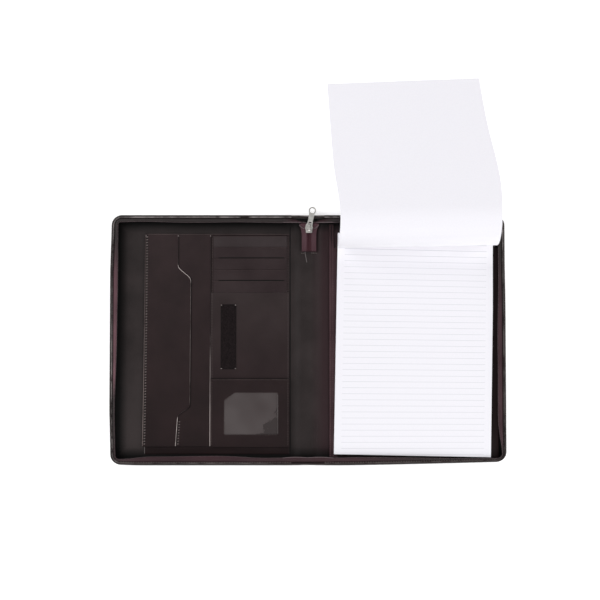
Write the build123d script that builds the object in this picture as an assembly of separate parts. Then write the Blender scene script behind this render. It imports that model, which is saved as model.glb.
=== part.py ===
from build123d import *
import os
from math import atan2, cos, radians, sin, tan

# Zippered padfolio, lying open on a table. Millimetres, +Z up, +Y towards the head of the pad.
# The origin is under the middle of the spine, on the table.

# Pad, a standard sheet size that the case is made for
pad_width = 210.0
pad_length = 297.0
pad_turn = -1.1               # degrees, head of the pad swung to the right
pad_board_thick = 1.0
pad_sheets_thick = 5.0
pad_head = 8.0
head_tape_thick = 0.4
pad_gap = 0.1

# Case
head_room = 27.0              # head of the pad to the top edge of the cover
foot_room = 13.8              # foot of the pad to the bottom edge of the cover
fold_room = 22.2              # fold line to the pad
edge_room = 19.6              # pad to the outer edge of the cover
spine_width = 31.0            # between the two fold lines
corner_radius = 14.0
least_radius = 0.6            # smallest rounding kept where a corner is set far in
leather_thick = 1.2
board_thick = 2.0
lining_thick = 0.8
board_setback = 3.0           # stiff board, lining and rim start this far from the fold line
fold_slit = 0.4               # slack left in the leather at each fold line
fit_gap = 0.2                 # play of pieces laid inside one another
binding_width = 4.0
binding_thick = 1.0

# Zip
tape_thick = 0.6
wall_inset = 4.2              # foot of the leaning zip wall, from the outer edge
wall_lean = 6.0               # how far the wall leans in at its top
wall_height = 13.0            # the two walls all but meet when the case is closed
wall_start = 18.0             # stiff wall starts this far from the fold line
coil_width = 2.6
coil_thick = 2.0
tape_width = 10.0             # one tape of the joined tail
tail_x = 1.5                  # middle of the joined tail
tail_end_drop = 48.4          # tucked end of the tail below the top edge of the spine
tail_coil_low = 3.7           # underside of the tooth strands on the tail
tooth_pitch = 1.6
tooth_width = 0.7
tooth_reach = 0.9             # a tooth crosses the middle line by this much
strand_inner = 1.1            # root of the teeth, from the middle line
strand_outer = 2.6
mouth_spread = 1.8            # how far each strand moves out round the wedge
tape_part = 0.1               # slit between the two joined tapes
tape_turn_room = 1.0          # soft tape turns towards the slider this far inside the fold line
tape_turn_drop = 7.0          # its foot there, below the top edge
tape_turn_sway = 4.0          # its free edge there, further towards the slider
tape_sag = 2.0                # how far the free edge sags across the bottom of the spine

# Slider and pull
slider_drop = 18.0            # middle of the slider below the top edge of the spine
slider_length = 12.6
slider_mouth = 11.0           # width at the wide end
slider_neck = 8.4             # width at the narrow end
plate_thick = 1.0
flange_thick = 1.0
strand_gap = 0.5              # play of a strand in the slider
slider_lift = 0.4             # slider's underside above the spine lining
part_drop = 2.7               # joined teeth start to part this far below the slider's middle
slider_cheek = 1.5            # straight part of the plate at the wide end
flange_stop = 3.0             # flanges end this far short of the wide end
plate_round = 0.7
wedge_half = 1.7
wedge_blunt = 1.3             # half width of the wedge's blunt end
wedge_shoulder = 2.0          # widest place of the wedge, from the wide end
wedge_tip = 0.4               # point of the wedge past the slider's middle, and its blunt end's setback
bridge_width = 2.6
bridge_wall = 1.3
bridge_room = 2.9             # height of the opening under the bridge
bridge_length = 8.6
bridge_round = 1.8
pull_length = 29.4            # hinge bar to far end
pull_thick = 1.6
pull_eye_radius = 3.4
pull_ring_radius = 5.1
pull_near_width = 7.4
pull_window_width = 4.6
pull_window_length = 5.2
pull_shoulder = 1.2           # full width goes on this far past the window
pull_neck = 5.0               # narrowest place, from the window
pull_neck_width = 6.6
pull_far_width = 8.2          # where the blade meets the ring
pull_bar_radius = 0.7
pull_droop = 5.0              # degrees below level at rest
pull_turn = 11.0              # degrees to the right at rest

# Organizer on the left cover
panel_thick = 0.8
sheet_thick = 0.6
hem_thick = 0.6
hem_width = 3.0
organizer_edge_room = 46.9    # outer edge of the cover to the organizer
organizer_fold_room = 9.5
organizer_head_room = 27.4
organizer_foot_room = 25.0
card_column_width = 106.5
document_width_middle = 60.4
document_width_ends = 45.4
document_slope_head = 39.0    # from the organizer's top to the upper slope of the mouth
document_slope_foot = 41.7
document_slope_length = 18.0
card_first_drop = 1.0         # first card mouth below the organizer's top
card_pitch = 15.3
card_count = 5
card_tuck = 6.0               # a card pocket reaches this far under the next mouth
card_thick = 0.5
card_gap = 0.1
card_hem_thick = 0.9
patch_indent = 13.9           # from the card column's left edge
patch_width = 20.8
patch_foot_room = 13.2        # above the identity-card pocket
patch_drop = 16.3             # below the mouth of the card panel
patch_thick = 1.0
id_height = 91.0
id_hem_thick = 0.7
window_indent = 18.3          # from the card column's left edge
window_width = 72.8
window_height = 56.9
window_drop = 18.0            # below the identity-card pocket's mouth
window_chamfer_across = 14.6
window_chamfer_down = 10.2
film_thick = 0.3
film_margin = 3.0

# Pocket for the pad's backing board on the right cover
pocket_side_room = 1.4        # play between the turned pad and the pocket's side hems
pocket_hem = 4.8
pocket_head_room = 12.0       # pocket's top to the top edge of the cover
pocket_corner = 3.5
notch_depth = 17.0            # notch below the pad's head, for its binding
band_width = 6.7
band_thick = 0.5

# Sheets turned back over the head of the pad
turned_thick = 0.5
turned_gap = 0.3              # between the turned sheets and the page when rolled back down
turned_root = 6.0             # flat part at the binding
curl_lengths = [22.0, 29.0, 29.0]
curl_angle = 49.9             # degrees at each of the four bends
curl_skew = 2.0               # degrees that the bend lines turn from the pad's head
bend_gap = 0.4                # slit between strips at a bend line

# Heights and places that follow
fold_x = spine_width / 2
cover_width = fold_room + pad_width + edge_room
cover_height = head_room + pad_length + foot_room
pad_x = fold_x + fold_room + pad_width / 2
pad_y = (foot_room - head_room) / 2
tail_end_y = cover_height / 2 - tail_end_drop
slider_y = cover_height / 2 - slider_drop
spine_top = leather_thick + lining_thick
lining_low = leather_thick + board_thick
lining_top = lining_low + lining_thick
foot_top = lining_top + tape_thick
rim_inset = leather_thick + fit_gap
wall_slope = wall_lean / wall_height
tail_tape_low = tail_coil_low + coil_thick
tail_tape_top = tail_tape_low + tape_thick
slider_low = spine_top + slider_lift
slider_top = tail_tape_top + strand_gap + plate_thick
mouth_y = slider_y + slider_length / 2
neck_y = slider_y - slider_length / 2
part_y = slider_y - part_drop
pull_bar_z = slider_top + bridge_room - pull_bar_radius - strand_gap
organizer_left = organizer_edge_room - fold_x - cover_width
organizer_right = -fold_x - organizer_fold_room
organizer_top = cover_height / 2 - organizer_head_room
organizer_bottom = organizer_foot_room - cover_height / 2
column_edge = organizer_right - card_column_width
organizer_top_z = lining_top + panel_thick
pad_panel_top = lining_top + panel_thick
pad_board_low = pad_panel_top + pad_gap
pad_board_top = pad_board_low + pad_board_thick
pocket_low = pad_board_top + pad_gap
pocket_high = pocket_low + sheet_thick
sheets_low = pocket_high + band_thick + fit_gap
sheets_top = sheets_low + pad_sheets_thick


def rect(x0, x1, y0, y1):
    """Flat rectangle between two corners."""
    return Pos((x0 + x1) / 2, (y0 + y1) / 2) * Rectangle(x1 - x0, y1 - y0)


def slab(face, low, thick):
    """Flat sheet of the given outline, standing on height low."""
    return Pos(0, 0, low) * extrude(face, thick)


def cover_outline(start, inset):
    """Right cover's outline from start past the fold line, set in from its three outer edges."""
    outer = fold_x + cover_width - inset
    half = cover_height / 2 - inset
    plate = rect(fold_x + start, outer, -half, half)
    corners = plate.vertices().group_by(Axis.X)[-1]
    return fillet(corners, max(corner_radius - inset, least_radius))


def leaning_band(start, inset, lean, low, high, thick):
    """Wall round the three outer edges of the right cover, leaning in by lean over its height."""
    def frustum(extra):
        foot = Pos(0, 0, low) * cover_outline(start, inset + extra)
        head = Pos(0, 0, high) * cover_outline(start, inset + lean + extra)
        return loft([foot.face(), head.face()], ruled=True)
    return frustum(0) - frustum(thick)


def edge_strip(start, outer, inner, low, thick):
    """Flat strip round the three outer edges of the right cover."""
    return slab(cover_outline(start, outer) - cover_outline(start, inner), low, thick)


def cover_shells():
    """Leather, board, lining, binding and zip wall of the right cover."""
    leather = slab(cover_outline(fold_slit / 2, 0), 0, leather_thick)
    leather += edge_strip(board_setback, 0, leather_thick, leather_thick, foot_top - leather_thick)
    inside = cover_outline(board_setback, rim_inset)
    wall_top = lining_top + wall_height
    foot = edge_strip(wall_start, rim_inset, wall_inset + tape_thick, lining_top, tape_thick)
    tape = leaning_band(wall_start, wall_inset, wall_lean, lining_top, wall_top, tape_thick)
    coil_low = wall_top - coil_width
    coil_inset = wall_inset + tape_thick + wall_slope * (coil_low - lining_top)
    coil_lean = wall_slope * coil_width
    return {
        "outer_cover": leather,
        "cover_board": slab(inside, leather_thick, board_thick),
        "lining": slab(inside, lining_low, lining_thick),
        "edge_binding": edge_strip(board_setback, 0, binding_width, foot_top, binding_thick),
        "zip_tape": tape + foot,
        "zip_coil": leaning_band(wall_start, coil_inset, coil_lean, coil_low, wall_top, coil_thick),
    }


def quad_loft(sections):
    """Strip through four-cornered sections, each a list of four points in one plane."""
    return loft([make_face(Polyline(*s, close=True)) for s in sections], ruled=True)


def tape_ends(tail):
    """Soft ends of one tape: drawn at the top into the slider at tail, and across the spine below."""
    half = cover_height / 2
    start_x = fold_x + wall_start
    foot_y = half - wall_inset
    head_y = foot_y - wall_lean
    wall_top = lining_top + wall_height
    across = tape_thick * cos(atan2(wall_lean, wall_height))

    def upright(x, foot_y, foot_z, head_y, head_z, flip):
        inner = across * flip
        return [(x, foot_y * flip, foot_z), (x, head_y * flip, head_z),
                (x, head_y * flip - inner, head_z), (x, foot_y * flip - inner, foot_z)]

    mouth_inner = tail + strand_inner + mouth_spread
    mouth_outer = tail + tape_width
    mouth = [(mouth_outer, mouth_y, tail_tape_top), (mouth_inner, mouth_y, tail_tape_top),
             (mouth_inner, mouth_y, tail_tape_low), (mouth_outer, mouth_y, tail_tape_low)]
    turn_x = fold_x - tape_turn_room
    turn_foot_y = half - tape_turn_drop
    turn_head_y = (turn_foot_y + mouth_y) / 2
    turn_foot_z = foot_top - fit_gap
    turn_head_z = (wall_top + tail_tape_top) / 2
    drop = tape_thick / 2
    lean = [(turn_x, turn_foot_y, turn_foot_z), (turn_x - tape_turn_sway, turn_head_y, turn_head_z),
            (turn_x - tape_turn_sway, turn_head_y - across, turn_head_z - drop),
            (turn_x, turn_foot_y - across, turn_foot_z - drop)]
    top = quad_loft([upright(start_x, foot_y, lining_top, head_y, wall_top, 1), lean, mouth])
    bottom = quad_loft([
        upright(start_x, foot_y, lining_top, head_y, wall_top, -1),
        upright(fold_x + board_setback, foot_y, lining_top, head_y, wall_top, -1),
        upright(fold_slit / 4, foot_y, spine_top + binding_thick, head_y, wall_top - tape_sag, -1),
    ])
    return {"tape_end_top": top, "tape_end_bottom": bottom}


def spine():
    """Soft spine: leather, lining with the slit for the zip tail, and turned bindings at both ends."""
    half_width = fold_x - fold_slit / 2
    half = cover_height / 2
    slit = rect(tail_x - tape_width - fit_gap, tail_x + tape_width + fit_gap,
                tail_end_y - tape_thick - fit_gap, tail_end_y + fit_gap)
    binding = rect(-half_width, half_width, half - binding_width, half)
    lining = rect(-half_width, half_width, -half, half) - slit
    return {
        "spine_outer": slab(rect(-half_width, half_width, -half, half), 0, leather_thick),
        "spine_lining": slab(lining, leather_thick, lining_thick),
        "spine_top_binding": slab(binding, spine_top, binding_thick),
        "spine_bottom_binding": mirror(slab(binding, spine_top, binding_thick), about=Plane.XZ),
    }


def strand_with_teeth(phase):
    """Tooth strand right of the middle line: a comb up to the slider, then bent out round the wedge."""
    points = []
    y = tail_end_y + tooth_pitch / 2 + phase
    points.append((strand_inner, tail_end_y))
    while y + tooth_width < part_y:
        points.append((strand_inner, y))
        points.append((-tooth_reach, y))
        points.append((-tooth_reach, y + tooth_width))
        points.append((strand_inner, y + tooth_width))
        y += tooth_pitch
    points.append((strand_inner, part_y))
    points.append((strand_inner + mouth_spread, mouth_y))
    points.append((strand_outer + mouth_spread, mouth_y))
    points.append((strand_outer, part_y))
    points.append((strand_outer, tail_end_y))
    return make_face(Polyline(*points, close=True))


def zip_tail():
    """Two joined tapes with their meshed teeth, and the end turned down into the slit of the lining."""
    edge = tape_part / 2
    half_tape = make_face(Polyline(
        (edge, tail_end_y), (tape_width, tail_end_y), (tape_width, mouth_y),
        (strand_inner + mouth_spread, mouth_y), (edge, part_y), close=True))
    right_tape = slab(half_tape, tail_tape_low, tape_thick)
    right_teeth = slab(strand_with_teeth(0), tail_coil_low, coil_thick)
    left_teeth = mirror(slab(strand_with_teeth(tooth_pitch / 2), tail_coil_low, coil_thick),
                        about=Plane.YZ)
    end = rect(-tape_width, tape_width, tail_end_y - tape_thick, tail_end_y)
    nodes = {
        "zip_tail_tape_right": right_tape,
        "zip_tail_tape_left": mirror(right_tape, about=Plane.YZ),
        "zip_tail_teeth_right": right_teeth,
        "zip_tail_teeth_left": left_teeth,
        "zip_tail_end": slab(end, leather_thick, tail_tape_top - leather_thick),
    }
    return {name: Pos(tail_x, 0, 0) * solid for name, solid in nodes.items()}


def slider():
    """Zip slider: two plates joined by a wedge, flanges that hold the strands, bridge for the pull."""
    neck = slider_neck / 2
    mouth = slider_mouth / 2
    cheek_y = mouth_y - slider_cheek
    plate = make_face(Polyline(
        (-neck, neck_y), (neck, neck_y), (neck, part_y), (mouth, cheek_y),
        (mouth, mouth_y), (-mouth, mouth_y), (-mouth, cheek_y), (-neck, part_y), close=True))
    plate = fillet(plate.vertices(), plate_round)
    low_plate_top = slider_low + plate_thick
    high_plate_low = slider_top - plate_thick
    inner = strand_outer + strand_gap
    flange_top = mouth_y - flange_stop
    spread = mouth_spread * (flange_top - part_y) / (mouth_y - part_y)
    flange = make_face(Polyline(
        (inner, neck_y), (inner + flange_thick, neck_y), (inner + flange_thick, part_y),
        (inner + spread + flange_thick, flange_top), (inner + spread, flange_top),
        (inner, part_y), close=True))
    flanges = flange + mirror(flange, about=Plane.YZ)
    wedge = make_face(Polyline(
        (0, slider_y - wedge_tip), (wedge_half, mouth_y - wedge_shoulder), (wedge_blunt, mouth_y - wedge_tip),
        (-wedge_blunt, mouth_y - wedge_tip), (-wedge_half, mouth_y - wedge_shoulder), close=True))
    arch = Pos(0, (bridge_room + bridge_wall) / 2) * Rectangle(bridge_length, bridge_room + bridge_wall)
    arch = fillet(arch.vertices().group_by(Axis.Y)[-1], bridge_round)
    hole = Pos(0, bridge_room / 2) * Rectangle(bridge_length - 2 * bridge_wall, bridge_room)
    hole = fillet(hole.vertices().group_by(Axis.Y)[-1], bridge_round - bridge_wall)
    bridge_plane = Plane((-bridge_width / 2, slider_y, slider_top), x_dir=(0, 1, 0), z_dir=(1, 0, 0))
    body = slab(plate, slider_low, plate_thick) + slab(plate, high_plate_low, plate_thick)
    body += slab(wedge, low_plate_top, high_plate_low - low_plate_top)
    low_flange = tail_tape_low - strand_gap / 2 - low_plate_top
    body += slab(flanges, low_plate_top, low_flange)
    body += bridge_plane * extrude(arch - hole, bridge_width)
    return Pos(tail_x, 0, 0) * body


def pull():
    """Zip pull: a tapered tab with an eye, hung by a bar through the slider's bridge."""
    near = pull_near_width / 2
    neck = pull_neck_width / 2
    far = pull_far_width / 2
    far_y = pull_length - pull_ring_radius
    shoulder_y = pull_window_length + pull_shoulder
    pinch_y = pull_window_length + pull_neck
    blade = make_face(Polyline(
        (-near, -pull_bar_radius), (near, -pull_bar_radius), (near, shoulder_y), (neck, pinch_y),
        (far, far_y), (-far, far_y), (-neck, pinch_y), (-near, shoulder_y), close=True))
    blade += Pos(0, far_y) * Circle(pull_ring_radius)
    blade -= Pos(0, far_y) * Circle(pull_eye_radius)
    window_low = pull_bar_radius
    blade -= Pos(0, window_low + pull_window_length / 2) * Rectangle(pull_window_width, pull_window_length)
    tab = slab(blade, -pull_thick / 2, pull_thick)
    tab -= Box(pull_window_width, 4 * pull_bar_radius, 2 * pull_thick)
    tab += Rot(0, 90, 0) * Cylinder(pull_bar_radius, pull_window_width + fit_gap)
    return Pos(tail_x, slider_y, pull_bar_z) * Rot(0, 0, -pull_turn) * Rot(-pull_droop, 0, 0) * tab


def pocket(face, room, low, hem):
    """Flat pocket: a front sheet on hems that leave the room and the mouth open."""
    return slab(face - room, low, hem) + slab(face, low + hem, sheet_thick)


def organizer():
    """Back panel and pockets on the left cover."""
    middle = rect(organizer_left, column_edge, organizer_bottom, organizer_top)
    room = rect(organizer_left + hem_width, column_edge + hem_width,
                organizer_bottom + hem_width, organizer_top - hem_width)
    mouth = organizer_left + document_width_middle
    mouth_ends = organizer_left + document_width_ends
    slope_top = organizer_top - document_slope_head
    slope_bottom = organizer_bottom + document_slope_foot
    document = make_face(Polyline(
        (organizer_left, organizer_top), (mouth_ends, organizer_top), (mouth_ends, slope_top),
        (mouth, slope_top - document_slope_length), (mouth, slope_bottom + document_slope_length),
        (mouth_ends, slope_bottom), (mouth_ends, organizer_bottom),
        (organizer_left, organizer_bottom), close=True))
    back = rect(organizer_left, organizer_right, organizer_bottom, organizer_top)
    document_low = organizer_top_z + hem_thick + sheet_thick
    nodes = {
        "organizer_back": slab(back, lining_top, panel_thick),
        "middle_pocket": pocket(middle, room, organizer_top_z, hem_thick),
        "document_pocket": pocket(document, room, document_low, hem_thick),
    }
    nodes.update(card_column())
    return nodes


def card_column():
    """Stepped card pockets, the plain panel below them, its patch, and the identity-card pocket."""
    left = column_edge + fit_gap
    right = organizer_right
    slot_left = left + hem_width + fit_gap
    slot_right = right - hem_width - fit_gap
    first_mouth = organizer_top - card_first_drop
    slope = (card_thick + card_gap) / card_pitch
    length = card_pitch + card_tuck
    nodes = {}
    for k in range(card_count):
        mouth = first_mouth - k * card_pitch
        low = organizer_top_z
        profile = make_face(Polyline(
            (mouth - length, low), (mouth, low + slope * length),
            (mouth, low + slope * length + card_thick), (mouth - length, low + card_thick), close=True))
        side = Plane((slot_left, 0, 0), x_dir=(0, 1, 0), z_dir=(1, 0, 0))
        nodes[f"card_pocket_{k + 1}"] = side * extrude(profile, slot_right - slot_left)
    panel_mouth = first_mouth - card_count * card_pitch
    panel = rect(left, right, organizer_bottom, panel_mouth)
    room = rect(left + hem_width, right - hem_width, organizer_bottom + hem_width, panel_mouth + hem_width)
    panel_top = organizer_top_z + card_hem_thick + sheet_thick
    id_top = organizer_bottom + id_height
    window_left = column_edge + window_indent
    window_right = window_left + window_width
    window_top = id_top - window_drop
    window_bottom = window_top - window_height
    window = make_face(Polyline(
        (window_left, window_bottom), (window_right, window_bottom), (window_right, window_top),
        (window_left + window_chamfer_across, window_top),
        (window_left, window_top - window_chamfer_down), close=True))
    id_face = rect(left, right, organizer_bottom, id_top) - window
    id_room = rect(left + hem_width, right - hem_width, organizer_bottom + hem_width, id_top + hem_width)
    film = rect(window_left - film_margin, window_right + film_margin,
                window_bottom - film_margin, window_top + film_margin)
    patch_left = column_edge + patch_indent
    patch_top = panel_mouth - patch_drop
    patch = rect(patch_left, patch_left + patch_width, id_top + patch_foot_room, patch_top)
    nodes["card_panel"] = pocket(panel, room, organizer_top_z, card_hem_thick)
    nodes["hook_and_loop_patch"] = slab(patch, panel_top, patch_thick)
    nodes["id_pocket"] = pocket(id_face, id_room, panel_top, id_hem_thick)
    nodes["id_window"] = slab(film, panel_top + id_hem_thick - film_thick, film_thick)
    return nodes


def pad_holder():
    """Panel on the right cover, and the pocket that the pad's backing board slips into."""
    swing = pad_length / 2 * sin(radians(abs(pad_turn)))
    reach = pad_width / 2 + swing + pocket_side_room
    room_left = pad_x - reach
    room_right = pad_x + reach
    room_low = pad_y - pad_length / 2 - pad_width / 2 * sin(radians(abs(pad_turn))) - fit_gap
    pocket_left = room_left - pocket_hem
    right = room_right + pocket_hem
    low = room_low - pocket_hem / 2
    pocket_top = cover_height / 2 - pocket_head_room
    pocket_notch = pad_y + pad_length / 2 - notch_depth
    face = rect(pocket_left, right, low, pocket_top)
    face = fillet(face.vertices().group_by(Axis.X)[-1], pocket_corner)
    room = rect(room_left, room_right, room_low, pocket_top)
    notch = rect(room_left, room_right, pocket_notch, pocket_top)
    front = slab(face - room, pad_panel_top, pocket_low - pad_panel_top)
    front += slab(face - notch, pocket_low, sheet_thick)
    band = rect(pocket_left, pocket_left + band_width, low, pocket_top) - notch
    return {
        "pad_panel": slab(face, lining_top, panel_thick),
        "pad_pocket": front,
        "pad_pocket_band": slab(band, pocket_high, band_thick),
    }


def on_pad(solid):
    """Place a piece drawn about the middle of the pad."""
    return Pos(pad_x, pad_y, 0) * Rot(0, 0, pad_turn) * solid


def writing_pad():
    """Backing board, ruled sheets, and the bound head that joins them above the pocket."""
    half_width = pad_width / 2
    half = pad_length / 2
    leaf = rect(-half_width, half_width, -half, half)
    head = rect(-half_width, half_width, half - pad_head, half)
    tape = rect(-half_width, half_width, half, half + head_tape_thick)
    binding = slab(head, pad_board_top, sheets_low - pad_board_top)
    binding += slab(tape, pad_board_low, sheets_top - pad_board_low)
    skew = half_width * tan(radians(curl_skew))
    root_y = half - turned_root + bend_gap / 2
    root = make_face(Polyline((-half_width, half), (-half_width, root_y - skew),
                              (half_width, root_y + skew), (half_width, half), close=True))
    nodes = {
        "pad_backing_board": slab(leaf, pad_board_low, pad_board_thick),
        "pad_sheets": slab(leaf, sheets_low, pad_sheets_thick),
        "pad_binding": binding,
        "turned_sheets_root": slab(root, sheets_top, turned_gap + turned_thick),
    }
    return {name: on_pad(solid) for name, solid in nodes.items()}


def turned_sheets():
    """Sheets rolled back over the head: three narrow strips and a long flap between four bend lines.

    Drawn flat on the page first, then bent up about each line in turn, from the last to the first.
    """
    half_width = pad_width / 2
    half = pad_length / 2
    bend_z = sheets_top + turned_gap + turned_thick / 2
    lines = []
    s = turned_root
    for length in curl_lengths + [0]:
        lines.append(half - s)
        s += length
    along = (cos(radians(curl_skew)), sin(radians(curl_skew)), 0)

    def edge(y, x, shift, skew):
        return (x, y + x * tan(radians(skew)) + shift)

    names = [f"turned_sheets_{k + 1}" for k in range(len(curl_lengths))] + ["turned_sheets_flap"]
    nodes = {}
    for k, name in enumerate(names):
        far, far_gap, far_skew = (lines + [-half])[k + 1], bend_gap / 2, curl_skew
        if name == "turned_sheets_flap":
            far_gap, far_skew = 0, 0
        strip = make_face(Polyline(
            edge(lines[k], -half_width, -bend_gap / 2, curl_skew),
            edge(lines[k], half_width, -bend_gap / 2, curl_skew),
            edge(far, half_width, far_gap, far_skew),
            edge(far, -half_width, far_gap, far_skew), close=True))
        solid = slab(strip, bend_z - turned_thick / 2, turned_thick)
        for y in reversed(lines[:k + 1]):
            solid = solid.rotate(Axis((0, y, bend_z), along), -curl_angle)
        nodes[name] = on_pad(solid)
    return nodes


def build():
    """Every node of the padfolio, by name."""
    nodes = {}
    for name, solid in cover_shells().items():
        nodes["right_" + name] = solid
        nodes["left_" + name] = mirror(solid, about=Plane.YZ)
    for name, solid in tape_ends(tail_x).items():
        nodes[name + "_right"] = solid
    for name, solid in tape_ends(-tail_x).items():
        nodes[name + "_left"] = mirror(solid, about=Plane.YZ)
    nodes.update(spine())
    nodes.update(zip_tail())
    nodes["slider_body"] = slider()
    nodes["pull_tab"] = pull()
    nodes.update(organizer())
    nodes.update(pad_holder())
    nodes.update(writing_pad())
    nodes.update(turned_sheets())
    return nodes


os.makedirs("parts", exist_ok=True)
for node_name, node_solid in build().items():
    export_step(node_solid, f"parts/{node_name}.step")
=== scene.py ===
from math import cos, pi, radians, sin, tan

import bmesh
import bpy
import numpy as np
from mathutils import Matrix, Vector


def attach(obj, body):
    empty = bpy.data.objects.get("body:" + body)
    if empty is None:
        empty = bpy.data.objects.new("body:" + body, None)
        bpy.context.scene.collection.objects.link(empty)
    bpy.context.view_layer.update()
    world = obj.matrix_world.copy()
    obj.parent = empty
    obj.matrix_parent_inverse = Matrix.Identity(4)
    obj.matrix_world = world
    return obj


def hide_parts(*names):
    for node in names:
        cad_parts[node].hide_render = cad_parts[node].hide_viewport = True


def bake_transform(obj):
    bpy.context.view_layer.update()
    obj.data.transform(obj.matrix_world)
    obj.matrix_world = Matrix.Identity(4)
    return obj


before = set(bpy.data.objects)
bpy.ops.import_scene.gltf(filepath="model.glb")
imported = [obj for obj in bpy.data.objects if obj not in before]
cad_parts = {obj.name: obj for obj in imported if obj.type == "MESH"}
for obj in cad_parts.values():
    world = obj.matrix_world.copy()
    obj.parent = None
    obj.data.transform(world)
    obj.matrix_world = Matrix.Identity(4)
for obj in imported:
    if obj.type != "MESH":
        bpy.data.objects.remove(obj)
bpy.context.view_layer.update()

# Sizes in millimetres, as in the part's source. Meshes are made in metres.
MM = 0.001

# Open case: outer half width and half height, corner radius, heights of lining and zip wall
outer_x, half_y, corner = 267.3, 168.9, 14.0
lining_z, wall_z = 4.0, 17.0
# Where each cover's leather ends at the spine, and where its zip wall ends
cover_x, wall_x = 22.0, 33.5
# Rise of the right cover's foot edge towards its corner
foot_rise = 4.6
# Joined zip tail: middle, tucked end, place where the strands part, slider's mouth, height
tail_x, tail_end_y, part_y, mouth_y, tail_z = 1.5, 120.5, 148.2, 157.2, 6.0
# Organizer: its four sides and the left side of the card column
left, right, low, high, column = -220.4, -25.0, -143.9, 141.5, -131.3
# Writing pad: middle, turn, half size, height of its page, and the page's rules
pad_at, pad_turn, pad_half = np.array([142.7, -6.6]), radians(-1.1), np.array([105.0, 148.5])
page_z = 12.3
rule_pitch, rule_shift, rule_half = 8.06, 3.04, 95.2
rule_tilt, rule_fan = -0.006, 0.092
chance = np.random.default_rng(7)


# Mesh helpers
def link(name, data):
    thing = bpy.data.objects.new(name, data)
    bpy.context.scene.collection.objects.link(thing)
    return thing


def coat(mesh, finish, sharp=None):
    """Give a mesh one finish and, up to an angle, smooth shading."""
    mesh.materials.clear()
    mesh.materials.append(finish.material)
    if sharp:
        mesh.polygons.foreach_set("use_smooth", [True] * len(mesh.polygons))
        mesh.set_sharp_from_angle(angle=radians(sharp))


def make(name, verts, faces, material, uv=None, sharp=40):
    """Mesh object from points in millimetres, with smooth shading up to the sharp angle."""
    mesh = bpy.data.meshes.new(name)
    mesh.from_pydata((np.asarray(verts, float) * MM).tolist(), [], [list(f) for f in faces])
    work = bmesh.new()
    work.from_mesh(mesh)
    bmesh.ops.recalc_face_normals(work, faces=work.faces)
    work.to_mesh(mesh)
    work.free()
    if uv is not None:
        layer = mesh.uv_layers.new(name="UVMap")
        corners = np.empty(len(mesh.loops), int)
        mesh.loops.foreach_get("vertex_index", corners)
        layer.data.foreach_set("uv", (np.asarray(uv, float)[corners] * MM).ravel())
    coat(mesh, material, sharp)
    return link(name, mesh)


def place(thing, body, slot, *nodes):
    """Let a piece ride on a body and stand for CAD nodes, which it hides. slot is not used."""
    if nodes:
        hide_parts(*nodes)
    if body:
        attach(thing, body)


def bend(thing, bodies, places, slot, *nodes):
    """Place a piece that lies between two bodies: hide its CAD nodes and fix its transform into its mesh.
    bodies and places are not used.
    """
    place(thing, None, slot, *nodes)
    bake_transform(thing)


def section_faces(count, sides, first=0):
    """Faces of a closed section carried along count places, with both ends closed."""
    faces = []
    last = first + (count - 1) * sides
    for a in range(first, last, sides):
        for i in range(sides):
            j = (i + 1) % sides
            faces.append((a + i, a + j, a + sides + j, a + sides + i))
    for a in (first, last):
        faces.append(tuple(range(a, a + sides)))
    return faces


def closed_sheet(top, low):
    """Points and faces of a closed sheet between two grids of points."""
    rows, columns = top.shape[:2]
    count = rows * columns
    verts = np.concatenate([top.reshape(-1, 3), low.reshape(-1, 3)])
    index = np.arange(count).reshape(rows, columns)
    faces = [(a, a + 1, a + columns + 1, a + columns) for a in index[:-1, :-1].ravel().tolist()]
    faces += [tuple(count + a for a in face[::-1]) for face in faces]
    ring = np.concatenate([index[0], index[1:, -1], index[-1, -2::-1], index[-2:0:-1, 0]]).tolist()
    for a, b in zip(ring, ring[1:] + ring[:1]):
        faces.append((a, a + count, b + count, b))
    return verts, faces


def unit(vectors):
    """Vectors of length one, along the last axis."""
    return vectors / np.maximum(np.linalg.norm(vectors, axis=-1, keepdims=True), 1e-9)


def thick_sheet(name, grid, thick, material, uv=None):
    """Closed sheet of one thickness about a grid of points."""
    offset = unit(np.cross(np.gradient(grid, axis=0), np.gradient(grid, axis=1))) * thick / 2
    verts, faces = closed_sheet(grid + offset, grid - offset)
    if uv is not None:
        uv = np.tile(uv.reshape(-1, 2), (2, 1))
    return make(name, verts, faces, material, uv)


def step(value, low, high):
    """Smooth step from 0 to 1."""
    t = np.clip((value - low) / (high - low), 0, 1)
    return t * t * (3 - 2 * t)


def soft(x, y, size):
    """Gentle unevenness of a sewn panel, in millimetres."""
    waves = np.sin(x / 17.0 + y / 41.0 + 1.3) + 0.7 * np.sin(y / 13.0 - x / 29.0)
    return 0.08 * size * (waves + 0.5 * np.sin(x / 7.0 + y / 9.0))


def level(value, *where):
    """A number as it is, or a function's value at a place."""
    return value(*where) if callable(value) else value


def stations(length, cell):
    """Places from 0 to length, close together near both ends."""
    fine = np.array([0.0, 0.25, 0.6, 1.1, 1.8, 3.0]) * min(1.0, length / 8.0)
    count = max(2, int(round((length - 2 * fine[-1]) / cell)))
    middle = np.linspace(fine[-1], length - fine[-1], count + 1)[1:-1]
    return np.concatenate([fine, middle, length - fine[::-1]])


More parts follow.
